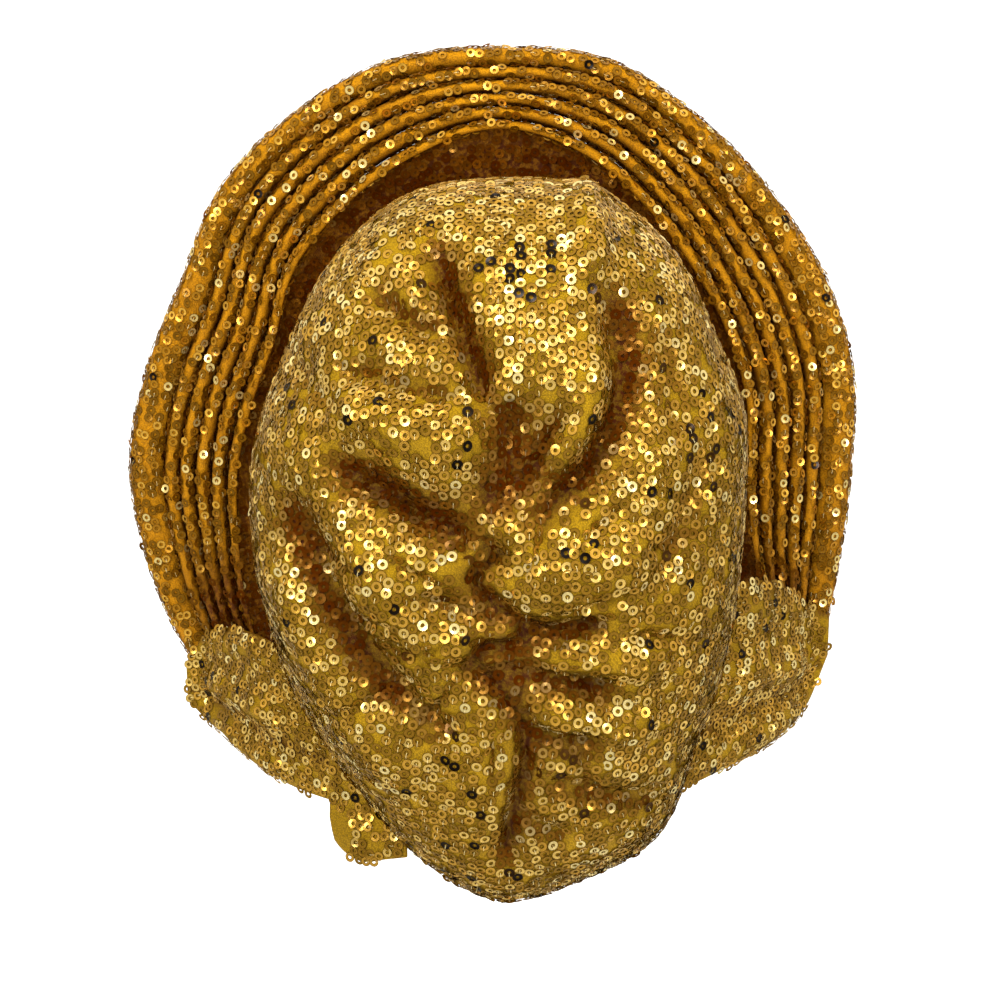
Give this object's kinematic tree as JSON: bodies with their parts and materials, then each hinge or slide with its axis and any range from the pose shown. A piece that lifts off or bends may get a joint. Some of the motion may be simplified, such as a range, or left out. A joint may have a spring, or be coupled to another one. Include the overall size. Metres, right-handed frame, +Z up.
{
  "type": "sequin turban cap",
  "caption": "Ready-made sequin head tie in its worn form: a fan brim of rolled pleats round a loose cap gathered down the back, with side wraps and a short hanging end.",
  "frame": {"origin": "the middle of the opening that the head goes into, on the wearer's middle line, level with the lower hem", "axes": "+Z is up, the wearer faces -Y so that the gathered back faces +Y, and +X is the wearer's left"},
  "size_m": [0.4024, 0.2381, 0.4061],
  "materials": {
    "crown_cloth": "mustard knit closely sewn with flat gold ring sequins",
    "rim_cloth": "mustard knit sewn with gold ring sequins, rolled over a soft edge",
    "pleat_cloth": "mustard knit sewn with gold ring sequins, folded into narrow rolls",
    "wrap_cloth": "mustard knit sewn with gold ring sequins, lying in soft folds",
    "bare_cloth": "mustard knit with a few sequins and a cut edge"
  },
  "bodies": {
    "root": {"crown": "crown_cloth", "brim_rim": "rim_cloth", "brim_pleat_1": "pleat_cloth", "brim_pleat_2": "pleat_cloth", "brim_pleat_3": "pleat_cloth", "brim_pleat_4": "pleat_cloth", "brim_pleat_5": "pleat_cloth", "side_wrap_left": "wrap_cloth", "side_wrap_right": "wrap_cloth", "tie_tail": "bare_cloth"}
  },
  "joints": []
}
